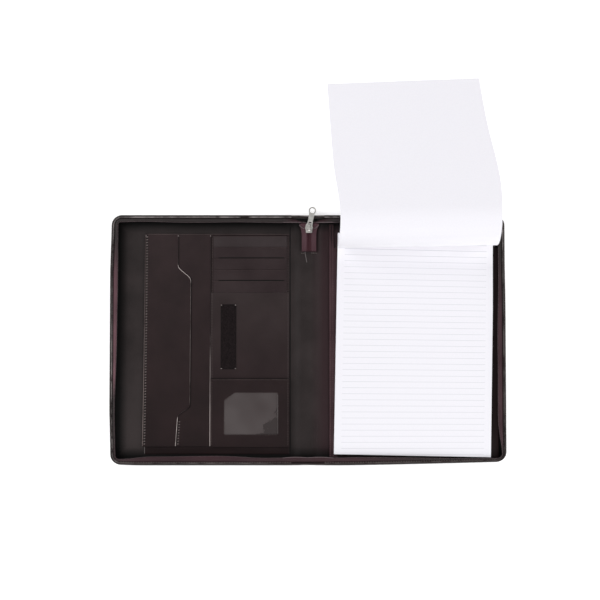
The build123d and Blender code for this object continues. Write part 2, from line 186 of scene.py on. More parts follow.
def panel(name, left, right, low, high, top, thick, material, cell=5.0, roll=1.2, wave=1.0):
    """Flat sewn panel. left, right and top may be functions; its edges are rounded over roll."""
    ys = low + stations(high - low, cell)
    middle = (low + high) / 2
    wide = level(right, middle) - level(left, middle)
    y, t = np.meshgrid(ys, stations(wide, cell) / wide, indexing="ij")
    x0, x1 = level(left, y), level(right, y)
    x = x0 + (x1 - x0) * t
    near = np.minimum(np.minimum(x - x0, x1 - x), np.minimum(y - low, high - y))
    round_off = 1 - np.sqrt(np.clip(1 - (1 - np.clip(near / roll, 0, 1)) ** 2, 0, 1))
    z = level(top, x, y) + soft(x, y, wave) * np.clip(near / 6, 0, 1)
    verts, faces = closed_sheet(np.dstack([x, y, z - round_off * thick * 0.8]), np.dstack([x, y, z - thick]))
    return make(name, verts, faces, material, verts[:, :2])


def run_of(points):
    """How far each point lies along its line."""
    return np.concatenate([[0], np.cumsum(np.linalg.norm(np.diff(points, axis=0), axis=1))])


def along(points, pitch):
    """Even places along a line of points, with their directions."""
    points = np.asarray(points, float)
    run = run_of(points)
    places = np.arange(pitch / 2, run[-1], pitch)

    def at(where):
        return np.stack([np.interp(where, run, points[:, k]) for k in range(3)], axis=1)

    return at(places), unit(at(places + pitch / 4) - at(places - pitch / 4))


def ring(spot, way, wide, high, sides):
    """Points round a spot, across a way, at half widths wide and high."""
    side = unit(np.cross([0, 0, 1.0], way))
    up = np.cross(way, side)
    return [spot + side * cos(a) * wide + up * sin(a) * high
            for a in np.linspace(0, 2 * pi, sides, endpoint=False)]


def grains(name, spots, ways, size, material):
    """Small rounded bars, such as stitches or teeth, of length, width and height size, along their ways."""
    length, width, height = size
    sides = 6
    rings = ((-0.5, 0.45), (-0.3, 1.0), (0.3, 1.0), (0.5, 0.45))
    verts, faces = [], []
    for spot, way in zip(spots, ways):
        faces += section_faces(len(rings), sides, len(verts))
        # The first end is listed the other way round, so that it faces out
        faces[-2] = faces[-2][::-1]
        for t, scale in rings:
            verts += ring(spot + way * t * length, way, scale * width / 2, scale * height / 2, sides)
    return make(name, verts, faces, material, sharp=70)


def stitches(name, lines, material, pitch=3.4, size=(2.3, 0.55, 0.4)):
    """Rows of stitches along lines of points."""
    spots, ways = zip(*[along(points, pitch) for points in lines])
    return grains(name, np.concatenate(spots), np.concatenate(ways), size, material)


def slanted(name, line, pitch, size, angle, shift, material):
    """One row of stitches, each turned by an angle from the line and moved along by a share of the pitch."""
    spots, ways = along(line, pitch)
    c, s = cos(radians(angle)), sin(radians(angle))
    turned = np.column_stack([c * ways[:, 0] - s * ways[:, 1], s * ways[:, 0] + c * ways[:, 1], ways[:, 2]])
    return grains(name, spots + ways * pitch * shift, turned, size, material)


def bead(name, radius, material, *lines):
    """Rolled edges: round tubes along lines of points."""
    sides = 8
    verts, faces = [], []
    for points in lines:
        points = np.asarray(points, float)
        faces += section_faces(len(points), sides, len(verts))
        for spot, way in zip(points, unit(np.gradient(points, axis=0))):
            verts += ring(spot, way, radius, radius, sides)
    return make(name, verts, faces, material, sharp=60)


def line_at(x, y, z):
    """Line of points from numbers and arrays of one length."""
    return np.column_stack(np.broadcast_arrays(x, y, z))


# Materials. Places in them are in metres, as the shader sees them.
def rgb(*colour):
    """Colour from eight-bit screen values."""
    c = np.array(colour, float) / 255
    c = np.where(c <= 0.04045, c / 12.92, ((c + 0.055) / 1.055) ** 2.4)
    return (*c.tolist(), 1.0)


class Finish:
    """One material, built node by node. A value is a number, a colour or another node's output."""

    def __init__(self, name, rough, metal=0.0, specular=0.5):
        self.material = bpy.data.materials.new(name)
        self.material.use_nodes = True
        self.tree = self.material.node_tree
        self.shader = self.tree.nodes["Principled BSDF"]
        self.where = self.tree.nodes.new("ShaderNodeTexCoord")
        self.normal = None
        self.set("Roughness", rough)
        self.set("Metallic", metal)
        self.set("Specular IOR Level", specular)

    def put(self, socket, value):
        if isinstance(value, (int, float, tuple)):
            socket.default_value = value
        else:
            self.tree.links.new(value, socket)

    def set(self, name, value):
        """Give an input of the shader its value."""
        self.put(self.shader.inputs[name], value)

    def node(self, kind, values, **settings):
        """New node with its settings, and its inputs by name or number."""
        made = self.tree.nodes.new(kind)
        for key, value in settings.items():
            setattr(made, key, value)
        for key, value in values.items():
            self.put(made.inputs[key], value)
        return made

    def spot(self, kind, output, values, uv=False, **settings):
        """What a node gives at each spot of the surface, found by the part's own places or by UV."""
        values["Vector"] = self.where.outputs["UV" if uv else "Object"]
        return self.node(kind, values, **settings).outputs[output]

    def noise(self, scale, detail=3.0):
        return self.spot("ShaderNodeTexNoise", 0, {"Scale": scale, "Detail": detail})

    def cells(self, scale):
        return self.spot("ShaderNodeTexVoronoi", "Distance", {"Scale": scale})

    def wave(self, scale, direction):
        values = {"Scale": scale, "Distortion": 0.4}
        return self.spot("ShaderNodeTexWave", "Fac", values, True, bands_direction=direction)

    def part(self, axis, uv=False):
        return self.spot("ShaderNodeSeparateXYZ", axis, {}, uv)

    def maths(self, operation, first, second=0.0):
        return self.node("ShaderNodeMath", {0: first, 1: second}, operation=operation).outputs["Value"]

    def times(self, first, second):
        return self.maths("MULTIPLY", first, second)

    def size(self, value):
        return self.maths("ABSOLUTE", value)

    def spread(self, value, low, high, start=0.0, end=1.0):
        """Value between low and high, mapped to the span from start to end."""
        values = {"Value": value, "From Min": low, "From Max": high, "To Min": start, "To Max": end}
        return self.node("ShaderNodeMapRange", values).outputs["Result"]

    def between(self, axis, low, high, start=0.0, end=1.0):
        """Share of the way from one place to another along an axis, mapped to the span from start to end."""
        return self.spread(self.part(axis), low, high, start, end)

    def ramp(self, factor, *stops):
        made = self.node("ShaderNodeValToRGB", {"Fac": factor})
        points = made.color_ramp.elements
        points[0].position, points[0].color = stops[0]
        points[1].position, points[1].color = stops[-1]
        for position, colour in stops[1:-1]:
            points.new(position).color = colour
        return made.outputs["Color"]

    def tones(self, factor, dark, light, start=0.3, end=0.7):
        return self.ramp(factor, (start, dark), (end, light))

    def clouds(self, dark, light):
        """Cloudy colour of leather."""
        return self.tones(self.noise(22.0, 6.0), dark, light, end=0.72)

    def mix(self, factor, first, second):
        made = self.node("ShaderNodeMix", {0: factor}, data_type="RGBA")
        colours = [socket for socket in made.inputs if socket.type == "RGBA"]
        for socket, value in zip(colours, (first, second)):
            self.put(socket, value)
        return next(socket for socket in made.outputs if socket.type == "RGBA")

    def base(self, colour):
        self.set("Base Color", colour)

    def roughness(self, factor, low, high):
        self.set("Roughness", self.spread(factor, 0.0, 1.0, low, high))

    def bump(self, height, strength, distance):
        """Relief, on top of any that is there already."""
        made = self.node("ShaderNodeBump", {"Strength": strength, "Distance": distance, "Height": height})
        if self.normal:
            self.put(made.inputs["Normal"], self.normal)
        self.normal = made.outputs["Normal"]
        self.set("Normal", self.normal)


def leather(name, rough, grain=1400.0, depth=0.0001):
    """Leather without its colour: fine pebbled grain and gloss that varies."""
    made = Finish(name, rough, specular=0.2)
    made.roughness(made.noise(160.0, 4.0), rough - 0.08, rough + 0.1)
    made.bump(made.cells(grain), 0.35, depth)
    made.bump(made.noise(grain * 1.7, 2.0), 0.25, depth * 0.7)
    return made


coarse = (900.0, 0.00025)


def hide(name, dark, light, rough=0.5, head=None, grain=()):
    """Leather of a cloudy colour. head gives its dark and light colour at the organizer's top, a painted
    sheen that makes the leather lighter and greyer towards the top.
    """
    made = leather(name, rough, *grain)
    tint = made.clouds(dark, light)
    if head:
        tint = made.mix(made.between("Y", low * MM, high * MM), tint, made.clouds(*head))
    made.base(tint)
    return made


def highlighted_edge_hide(name, dim, bright, *stops):
    """Leather edge with a painted highlight in places. stops give places in mm up the organizer, each with
    the share of painted highlight there.
    """
    made = leather(name, 0.36)
    shares = [((y - low) / (high - low), (highlight_share, highlight_share, highlight_share, 1.0)) for y, highlight_share in stops]
    highlight_share = made.ramp(made.between("Y", low * MM, high * MM), *shares)
    patchy = made.spread(made.noise(60.0, 4.0), 0.25, 0.5)
    made.base(made.mix(made.times(highlight_share, patchy), dim, bright))
    return made


def binding_finish(dark, light, highlight_colour):
    """Edge binding: dark leather with a painted highlight along its crown, most of all along the head."""
    crown_at = 0.0051
    made = leather("binding_hide", 0.36, *coarse)
    crown = made.size(made.maths("SUBTRACT", made.part("Y", True), crown_at))
    line = made.spread(crown, 0.0004, 0.0010, 1.0, 0.0)
    head = made.between("Y", 0.10, 0.16, 0.25, 1.0)
    left_foot = made.times(made.between("X", -0.254, -0.258), made.between("Y", -0.02, 0.06, 0.65, 0.0))
    patchy_highlight = made.spread(made.noise(70.0, 5.0), 0.35, 0.6)
    # Painted highlight: a light line along the crown, strongest at the head and on the lower left side,
    # broken up by noise
    highlight_share = made.times(made.times(line, made.maths("MAXIMUM", head, left_foot)), patchy_highlight)
    made.base(made.mix(highlight_share, made.clouds(dark, light), highlight_colour))
    return made


def lining_finish(dark, light, warm, seam_and_shade, left_foot, fold_foot):
    """Lining: leather cloth, warmer beside the pad, with painted shade where it turns up into the walls. At
    the foot of the left cover painted light makes it lighter outside, and it is darker beside the fold."""
    made = leather("lining_hide", 0.5, 1000.0, 0.0002)
    beside = made.maths("SUBTRACT", outer_x * MM, made.size(made.part("X")))
    above = made.maths("SUBTRACT", half_y * MM, made.size(made.part("Y")))
    # Painted shade on the lining where it runs in under the leaning walls
    under_wall_shade = made.spread(made.maths("MINIMUM", beside, above), 0.0125, 0.024)
    foot = made.between("Y", 0.0, -0.14, 0.0, 0.7)
    fold = made.times(made.between("X", -0.2, -0.1), made.between("X", -0.014, -0.028))
    tint = made.clouds(dark, light)
    # Painted light at the foot of the left cover, where less shade falls
    tint = made.mix(made.times(foot, made.between("X", -0.1, -0.2)), tint, left_foot)
    tint = made.mix(made.times(foot, fold), tint, fold_foot)
    tint = made.mix(made.between("X", 0.004, 0.022), tint, warm)
    made.base(made.mix(under_wall_shade, seam_and_shade, tint))
    return made


def woven(name, dark, light, pitch, head=None, foot_painted_shade=None, middle=None, left_painted_light=None):
    """Narrow woven tape: ribs across, fine threads along, slight mottling, and colours that change with
    place. head gives the dark and light colour at the head, and the heights between which they come in:
    painted shade, darker and greyer towards the head. The next colour is painted shade along the foot,
    darkest to the right. middle is a darker colour along the middle. The last colour is that of the left
    wall, painted lighter as light falls on it, where the head's colours start higher up."""
    left_shift = 0.022
    made = Finish(name, 0.75, specular=0.15)
    cloudy = made.noise(18.0, 2.0)
    tint = made.tones(cloudy, dark, light)
    height = made.part("Y")
    # Painted light: the left wall is drawn lighter as light falls on it; towards its lower end it turns to
    # the head's darker, greyer colour
    if left_painted_light:
        beside = made.between("X", -0.24, -0.26)
        tint = made.mix(beside, tint, made.tones(cloudy, light, left_painted_light))
        tint = made.mix(made.times(beside, made.between("Y", -0.05, -0.08)), tint, head[1])
        height = made.maths("SUBTRACT", height, made.times(beside, left_shift))
    # Painted shade towards the head
    if head:
        head_dark, head_light, start, end = head
        from_middle = made.spread(made.size(made.part("X")), 0.012, 0.034)
        head_tint = made.mix(from_middle, dark, made.tones(cloudy, head_dark, head_light))
        tint = made.mix(made.spread(height, start, end), tint, head_tint)
    # Painted shade along the foot, darkest to the right
    if foot_painted_shade:
        foot = made.mix(made.between("X", 0.06, 0.18), made.tones(cloudy, foot_painted_shade, dark), head_dark)
        tint = made.mix(made.between("Y", -0.135, -0.150), tint, foot)
    if middle:
        tint = made.mix(made.spread(made.part("Y", True), 0.0022, 0.0042), middle, tint)
    made.base(tint)
    made.bump(made.wave(pitch, "X"), 0.5, 0.0003)
    made.bump(made.wave(pitch * 1.4, "Y"), 0.35, 0.0002)
    return made


def thread(name, dark, light):
    """Twisted sewing thread."""
    made = Finish(name, 0.6)
    made.base(made.tones(made.noise(900.0, 3.0), dark, light))
    made.bump(made.noise(3000.0, 2.0), 0.4, 0.0001)
    return made


def paper_finish(name, dark, light, painted_light_span=None, rule=None):
    """White paper. The argument after its two tones gives two places in mm along the sheet, between which
    painted light turns it to the purest white. rule is the colour of faint rules inside its margins."""
    made = Finish(name, 0.62)
    fibre = made.noise(500.0, 6.0)
    white = made.tones(fibre, dark, light)
    down = made.part("Y", True)
    if painted_light_span:
        start, end = painted_light_span
        # Painted light: the paper turns whiter between the two places
        white = made.mix(made.spread(down, start * MM, end * MM), white, (0.960, 0.950, 0.985, 1))
    if rule:
        across = made.part("X", True)
        tilt = made.maths("ADD", made.times(down, rule_fan), rule_tilt)
        down = made.maths("ADD", down, made.times(across, tilt))
        down = made.maths("ADD", down, rule_shift * MM)
        line = made.spread(made.maths("PINGPONG", down, rule_pitch / 2 * MM), 0.00034, 0.00018)
        inside = made.spread(made.size(across), (rule_half + 0.8) * MM, rule_half * MM)
        white = made.mix(made.times(line, inside), white, rule)
    made.base(white)
    made.bump(fibre, 0.04, 0.0001)
    return made


outer_hide = hide("outer_hide", rgb(24, 18, 18), rgb(38, 30, 29), 0.42, grain=coarse)
# Edge binding, with a painted highlight along its crown
binding_hide = binding_finish(rgb(28, 22, 22), rgb(43, 35, 34), rgb(158, 151, 150))
# Painted sheen: pocket and panel leather turn lighter and greyer towards the organizer's top
pocket_hide = hide("pocket_hide", rgb(23, 11, 12), rgb(31, 18, 19), head=(rgb(31, 21, 22), rgb(43, 31, 32)))
panel_hide = hide("panel_hide", rgb(22, 6, 9), rgb(29, 12, 15), head=(rgb(43, 35, 35), rgb(53, 45, 45)))
# The top card pocket's leather, lighter and greyer than the others: painted sheen
first_card_sheen_hide = hide("first_card_sheen_hide", rgb(42, 34, 35), rgb(54, 46, 47))
card_hide = hide("card_hide", rgb(34, 23, 25), rgb(46, 36, 37))
# Lighter leather for rolled lips and edges: painted sheen along them
edge_hide = hide("edge_hide", rgb(36, 25, 25), rgb(54, 41, 41), 0.4)
seam_hide = hide("seam_hide", rgb(52, 41, 41), rgb(84, 72, 71), 0.4)
# Light leather for painted highlights on ridges and edges
highlight_hide = hide("highlight_hide", rgb(70, 64, 64), rgb(128, 122, 121), 0.4)
# Near-black: painted shade in gaps, mouths, slots and stitch holes, and the black stitches round the
# fastening patch
black_and_painted_shade = hide("black_and_painted_shade", rgb(3, 2, 2), rgb(7, 4, 4), 0.7)
# Rolled edges of the pockets and the organizer's left edge: painted highlights in places up the organizer
mouth_hide = highlighted_edge_hide("mouth_hide", rgb(36, 24, 25), rgb(190, 178, 175),
                       (low, 0.9), (-106.0, 0.85), (-103.0, 0.0), (-88.0, 0.0), (-84.0, 0.17),
                       (76.0, 0.17), (82.0, 0.9), (98.0, 0.9), (102.0, 0.05), (high, 0.0))
left_edge_hide = highlighted_edge_hide("left_edge_hide", rgb(44, 33, 33), rgb(160, 146, 143),
                           (low, 0.5), (-20.0, 0.25), (high, 0.0))
column_hide = highlighted_edge_hide("column_hide", rgb(36, 24, 25), rgb(205, 192, 189),
                        (low, 1.0), (-90.0, 0.8), (-40.0, 0.3), (10.0, 0.0), (high, 0.0))
# Lining: painted shade under the walls, painted light at the left foot
lining_hide = lining_finish(rgb(30, 24, 24), rgb(45, 38, 38), rgb(42, 27, 30), rgb(4, 3, 3), rgb(54, 47, 47),
                            rgb(18, 13, 13))
# Zip tape: painted shade at the head and along the foot, painted light on the left wall
tape_cloth = woven("tape_cloth", rgb(52, 30, 35), rgb(70, 46, 52), 280.0,
                   (rgb(30, 24, 24), rgb(40, 33, 33), 0.06, 0.115), rgb(40, 20, 25),
                   left_painted_light=rgb(104, 72, 79))
tail_cloth = woven("tail_cloth", rgb(68, 44, 50), rgb(90, 66, 72), 280.0, middle=rgb(56, 30, 36))
# Edge band: painted shade towards its head
band_cloth = woven("band_cloth", rgb(48, 32, 36), rgb(66, 48, 52), 200.0,
                   (rgb(28, 18, 20), rgb(34, 24, 26), 0.124, 0.142))
tooth_plastic = thread("tooth_plastic", rgb(62, 48, 51), rgb(96, 82, 85))
dark_thread = thread("dark_thread", rgb(66, 55, 54), rgb(100, 88, 86))
soft_thread = thread("soft_thread", rgb(48, 38, 38), rgb(66, 55, 54))
black_thread = thread("black_thread", rgb(20, 16, 16), rgb(36, 30, 29))
pale_thread = thread("pale_thread", rgb(104, 94, 92), rgb(158, 148, 145))
wine_thread = thread("wine_thread", rgb(84, 56, 60), rgb(120, 86, 90))
white_tones = ((0.815, 0.803, 0.850, 1), (0.835, 0.823, 0.870, 1))
plain_paper = paper_finish("plain_paper", *white_tones)
# Painted light: the curl of the turned sheets is whiter, and the top page is whiter just below the curl,
# where its shadow falls
turned_paper = paper_finish("turned_paper", *white_tones, (86.0, 110.0))
ruled_paper = paper_finish("ruled_paper", (0.785, 0.775, 0.820, 1), (0.805, 0.795, 0.840, 1), (42.0, 15.0),
                           (0.60, 0.60, 0.64, 1))

# Plated zip metal with fine wear
nickel = Finish("nickel", 0.36, 0.65)
nickel.base(nickel.tones(nickel.noise(260.0, 4.0), (0.54, 0.53, 0.50, 1), (0.76, 0.75, 0.71, 1)))
nickel.roughness(nickel.noise(700.0, 5.0), 0.26, 0.48)
nickel.bump(nickel.noise(1500.0, 3.0), 0.08, 0.0001)

# Looped pile of the fastening patch
pile = Finish("pile", 0.95, specular=0.12)
pile.base(pile.tones(pile.noise(900.0, 4.0), rgb(14, 9, 10), rgb(33, 26, 27), 0.35))
pile.bump(pile.cells(1100.0), 0.9, 0.0006)

# Clear soft film, slightly hazy, darker where it clings to the pocket behind
cling_start, cling_end, ragged = 0.080, 0.084, 0.05
film = Finish("film", 0.22)
haze = film.tones(film.noise(25.0, 1.0), rgb(70, 62, 62), rgb(82, 75, 75), 0.35, 0.65)
slope = film.maths("SUBTRACT", film.part("X"), film.part("Y"))
slope = film.maths("ADD", slope, film.times(film.noise(90.0, 4.0), ragged))
film.base(film.mix(film.spread(slope, cling_start, cling_end), haze, rgb(56, 49, 49)))
film.roughness(film.noise(20.0, 1.0), 0.3, 0.36)
film.bump(film.noise(30.0, 1.0), 0.1, 0.0004)
film.set("Alpha", 0.8)

# Grey fibre board
grey_board = Finish("grey_board", 0.9)
grey_board.base(grey_board.tones(grey_board.noise(600.0, 6.0), rgb(120, 112, 102), rgb(158, 150, 138)))
grey_board.bump(grey_board.noise(1200.0, 4.0), 0.3, 0.0002)


# Paths round the three outer edges of a cover
def rim(start, cell=5.0):
    """Points, outward normals and run lengths round the right cover's outer edges, from low to high."""
    bend_x, bend_y = outer_x - corner, half_y - corner
    quarter = np.linspace(0, pi / 2, 9)
    across = np.arange(start, bend_x, cell)
    up = np.arange(-bend_y, bend_y, cell)[1:]
    stretches = [(across, -bend_y, -pi / 2), (bend_x, -bend_y, quarter - pi / 2), (bend_x, up, 0.0),
                 (bend_x, bend_y, quarter), (across[::-1], bend_y, pi / 2)]
    x, y, angle = np.concatenate([line_at(*stretch) for stretch in stretches]).T
    facing = np.column_stack([np.cos(angle), np.sin(angle)])
    points = np.column_stack([x, y]) + corner * facing
    return points, facing, run_of(points)


def at_inset(path, inset, z, side):
    """Line of points at an inset from the outer edge and a height. The foot corners rise, the right one most.
    The right side is drawn in at its upper end, and the left one bows out between its corners."""
    right_draw, left_bow, left_draw, left_rise = 0.7, 0.45, 1.6, 0.9
    points, facing, run = path
    inset = np.broadcast_to(inset, run.shape)
    x, y = (points - facing * inset[:, None]).T
    outer = np.clip((x - 200.0) / 60.0, 0, 1)
    foot = np.clip(-y / half_y, 0, 1) ** 2
    if side > 0:
        x = x - right_draw * outer * step(y, 40.0, 110.0)
        y = y + foot_rise * np.clip((x - 45.0) / 210.0, 0, 1) ** 1.25 * foot
    else:
        x = x + outer * (left_bow - left_draw * step(np.abs(y), 85.0, 160.0))
        y = y + left_rise * step(x, 225.0, 260.0) * foot
    return line_at(x * side, y, z)


def section_uv(run, profile):
    """Places along a run and round a section of (inset, height) pairs."""
    around = run_of(np.array([(np.mean(u), np.mean(z)) for u, z in profile]))
    return np.stack(np.meshgrid(run, around, indexing="ij"), axis=2).reshape(-1, 2)


def swept(name, lines, run, profile, material):
    """Closed section that runs along lines of points, one for each place in its profile."""
    verts = np.stack(lines, axis=1).reshape(-1, 3)
    return make(name, verts, section_faces(len(run), len(profile)), material, section_uv(run, profile))


def sweep(name, path, profile, side, material):
    """Section swept round the outer edges. profile gives (inset, height) pairs, numbers or arrays."""
    return swept(name, [at_inset(path, u, z, side) for u, z in profile], path[2], profile, material)


def rounded_plate(name, inset, low, high, side, material, roll=0.2):
    """Flat plate with the cover's two rounded corners."""
    path = rim(cover_x, 12.0)
    rings = [(inset + roll, low), (inset, low + roll), (inset, high - 0.2), (inset + 0.2, high)]
    lines = [at_inset(path, u, z, side) for u, z in rings]
    for line in lines:
        line[[0, -1], 0] = cover_x * side
    return make(name, np.concatenate(lines), section_faces(len(rings), len(path[2])), material)


wall_foot, wall_lean = 4.7, 6.0


def wall_height(share, top):
    """Height of the zip wall at a share of its way up."""
    return wall_foot + (top - wall_foot) * (1 - (1 - share) ** 1.12)


def wall_line(run, share, side):
    """Inset and height of the soft zip wall at a share of its way up. It sways, stands steeper along the
    right foot and the lower left side, and leans in more along the left foot."""
    right_foot, left_side, left_foot = 4.4, 2.8, 1.5
    total = run[-1]
    ends = np.clip(np.minimum(run, total - run) / 60, 0, 1)
    foot_end = outer_x - wall_x - corner
    middle = np.clip(1 - np.abs(run - foot_end - half_y) / 130, 0, 1)
    sway = 0.7 * np.sin(run / 47.0 + side) + 0.4 * np.sin(run / 23.0 + 2 * side) + 1.6 * np.sqrt(middle)
    upper = np.clip((run - total + foot_end) / 40, 0, 1)
    lean = wall_lean + ends * (sway - 1.2 * upper)
    past = run - foot_end
    if side > 0:
        lean = lean - right_foot * step(run, 30.0, foot_end) * (1 - step(past, 10.0, 70.0))
    else:
        lean = lean - left_side * step(past, -40.0, 5.0) * (1 - step(past, 140.0, 270.0))
        lean = lean + left_foot * step(run, 20.0, 80.0) * (1 - step(past, -50.0, -5.0))
    return 4.6 + lean * share ** 1.25, wall_height(share, wall_z - 0.04 * (lean - wall_lean) ** 2)


# Covers, with their sections as pairs of inset and height
cover_sides = {"right": 1, "left": -1}
turned_edge = [(1.5, 0.1), (0.5, 0.25), (0.05, 1.0), (0.0, 2.6), (0.05, 4.2), (0.5, 4.6), (1.2, 4.5),
               (1.4, 1.2)]
piping = [(0.2, 3.2), (-0.15, 4.2), (0.1, 5.2), (0.9, 5.9), (2.4, 6.05), (3.8, 5.8), (4.8, 5.2), (4.6, 4.5)]
tape_foot = [(6.0, 4.1), (1.6, 4.1), (1.6, 4.6)]
tape_thick, tooth_pitch, tooth_size = 0.6, 1.6, (2.1, 1.0, 1.3)
long_rim, wall_rim = rim(cover_x), rim(wall_x)
foot_count = np.count_nonzero(long_rim[1][:, 1] == -1.0)
for word, side in cover_sides.items():
    cover = f"{word}_cover"
    plate = rounded_plate(f"{word}_cover_leather", 0.3, 0.0, 1.2, side, outer_hide, 0.6)
    place(plate, cover, "outer_leather", f"{word}_outer_cover")
    edge = sweep(f"{word}_cover_turned_edge", long_rim, turned_edge, side, outer_hide)
    place(edge, cover, "outer_leather")
    binding = sweep(f"{word}_edge_piping", long_rim, piping, side, binding_hide)
    place(binding, cover, "binding_leather", f"{word}_edge_binding")
    seam_and_shade = at_inset(long_rim, 4.1, 5.8, side)
    # The same stitches in two colours: light along the foot, a painted highlight, and black round the other
    # edges, painted shade
    rows = (("foot", seam_and_shade[:foot_count], dark_thread), ("rim", seam_and_shade[foot_count:], black_thread))
    for name, line, cotton in rows:
        sewn = stitches(f"{word}_{name}_stitches", [line], cotton, 3.4, (2.2, 1.0, 0.7))
        place(sewn, cover, "binding_leather")
    lining = rounded_plate(f"{word}_cover_lining", 1.5, 3.2, lining_z, side, lining_hide)
    place(lining, cover, "lining_cloth", f"{word}_lining")
    outer = [wall_line(wall_rim[2], share, side) for share in np.linspace(0, 1, 8)]
    inner = [(u + tape_thick, z) for u, z in outer[::-1]]
    wall = sweep(f"{word}_zip_wall", wall_rim, outer + inner + tape_foot, side, tape_cloth)
    place(wall, cover, "zip_tape", f"{word}_zip_tape")
    ends = []
    for share, beside in ((0.84, 1.5), (1.0, 1.0)):
        inset, height = wall_line(wall_rim[2], share, side)
        ends.append(along(at_inset(wall_rim, inset + beside, height, side), tooth_pitch)[0])
    count = min(len(spots) for spots in ends)
    roots, tips = (spots[:count] for spots in ends)
    teeth = grains(f"{word}_zip_teeth", (roots + tips) / 2, unit(tips - roots), tooth_size, tooth_plastic)
    place(teeth, cover, "zip_teeth", f"{word}_zip_coil")
    stiff = rounded_plate(f"{word}_cover_stiff_board", 2.6, 1.25, 3.15, side, grey_board)
    place(stiff, cover, "cover_board", f"{word}_cover_board")


# Spine: leather and lining in two halves, one for each cover
def spine_grid(reach, height, side, cell):
    """Grid of points over one half of the spine."""
    xs = np.linspace(0.0, reach, int(reach / cell) + 2) * side
    y, x = np.meshgrid(np.linspace(0.3 - half_y, half_y - 0.3, 70), xs, indexing="ij")
    return np.dstack([x, y, level(height, x, y) + 0 * x])


def lining_height(x, y):
    """Spine lining, low in the middle and rising over the boards, creased near its foot."""
    crease = np.exp(-((x - 11.0) / 5.0) ** 2 - ((y + 128.0) / 17.0) ** 2)
    return 1.6 + 2.05 * step(np.abs(x), 8.0, 21.0) + 0.3 * crease * np.sin(x * 1.5 + 0.6 * np.sin(y / 6.0))


def fold_line(side, outer, inner):
    """Two places across the fold between a cover and the spine."""
    return (outer * side * MM, 0, 2 * MM), (inner * side * MM, 0, 2 * MM)


for word, side in cover_sides.items():
    bodies, fold = (f"{word}_cover", "spine"), fold_line(side, 19.5, 11.5)
    half = thick_sheet(f"spine_leather_{word}", spine_grid(22.3, 0.6, side, 1.5), 1.2, outer_hide)
    bend(half, bodies, fold, "outer_leather", "spine_outer")
    half = thick_sheet(f"spine_lining_{word}", spine_grid(31.0, lining_height, side, 0.8), 0.8, lining_hide)
    bend(half, bodies, fold, "lining_cloth", "spine_lining")
    for way, end in ((1, "top"), (-1, "bottom")):
        xs = np.linspace(0, 22.6, 16)
        crest = 4.2 + 1.85 * step(xs, 3.0, 21.0)
        profile = [(0.5, 0.2), (0.05, 1.0), (-0.1, crest - 1.9), (0.1, crest - 0.85), (0.9, crest - 0.15),
                   (2.4, crest), (3.8, crest - 0.25), (4.6, crest - 1.2), (4.4, 1.3)]
        lines = [line_at(xs * side, way * (half_y - u), z) for u, z in profile]
        turned = swept(f"spine_{end}_edge_{word}", lines, xs, profile, binding_hide)
        bend(turned, bodies, fold, "binding_leather", f"spine_{end}_binding")


# Soft ends of the zip tape, across the spine below and into the slider above
def hermite(a, b, da, db, t):
    """Smooth curve from a to b, leaving along da and arriving along db."""
    return (a * (2 * t ** 3 - 3 * t ** 2 + 1) + da * (t ** 3 - 2 * t ** 2 + t)
            + b * (-2 * t ** 3 + 3 * t ** 2) + db * (t ** 3 - t ** 2))


def tape_end(word, end, grid, uv, shift, radius, fold):
    """Soft cloth at one end of a cover's tape, with its strand of teeth."""
    bodies = (f"{word}_cover", "spine")
    cloth = thick_sheet(f"tape_end_{end}_cloth_{word}", grid, tape_thick, tape_cloth, uv)
    bend(cloth, bodies, fold, "zip_tape", f"tape_end_{end}_{word}")
    coil = bead(f"tape_end_{end}_coil_{word}", radius, tooth_plastic, grid[:, -1] + shift)
    bend(coil, bodies, fold, "zip_teeth")


tape_wide, tape_run = 13, 34
shares, places = np.linspace(0, 1, 9), np.linspace(0, 1, 22)
insets, heights = 4.7 + wall_lean * shares ** 1.25, wall_height(shares, wall_z)
sag, share = np.meshgrid(places, shares, indexing="ij")
for word, side in cover_sides.items():
    x = wall_x * (1 - sag)
    y = insets - half_y + 0.96 * share * np.sin(pi * sag)
    z = heights - 2.0 * share * sag ** 2 - 1.2 * (1 - share) * np.clip(sag * 2 - 0.8, 0, 1)
    uv = np.dstack([x, share * tape_wide])
    tape_end(word, "bottom", np.dstack([x * side, y, z]), uv, [0, 0.5, -0.7], 0.75, fold_line(side, 24, 9))
    start = line_at(wall_x, half_y - insets, heights)
    into = line_at(tail_x * side + 10.0 - 7.1 * shares, mouth_y, tail_z)
    t = places[:, None, None]
    grid = hermite(start, into, np.array([-tape_run, 0, 0]), np.array([0, -12.0, 0]), t)
    grid[:, :, 2] = hermite(start, into, 0, 0, np.clip(1.6 * t, 0, 1))[:, :, 2]
    grid[:, :, 0] *= side
    uv = np.dstack([tape_run * sag, share * tape_wide])
    tape_end(word, "top", grid, uv, [0, -0.3, -0.3], 0.7, fold_line(side, 27, 14))


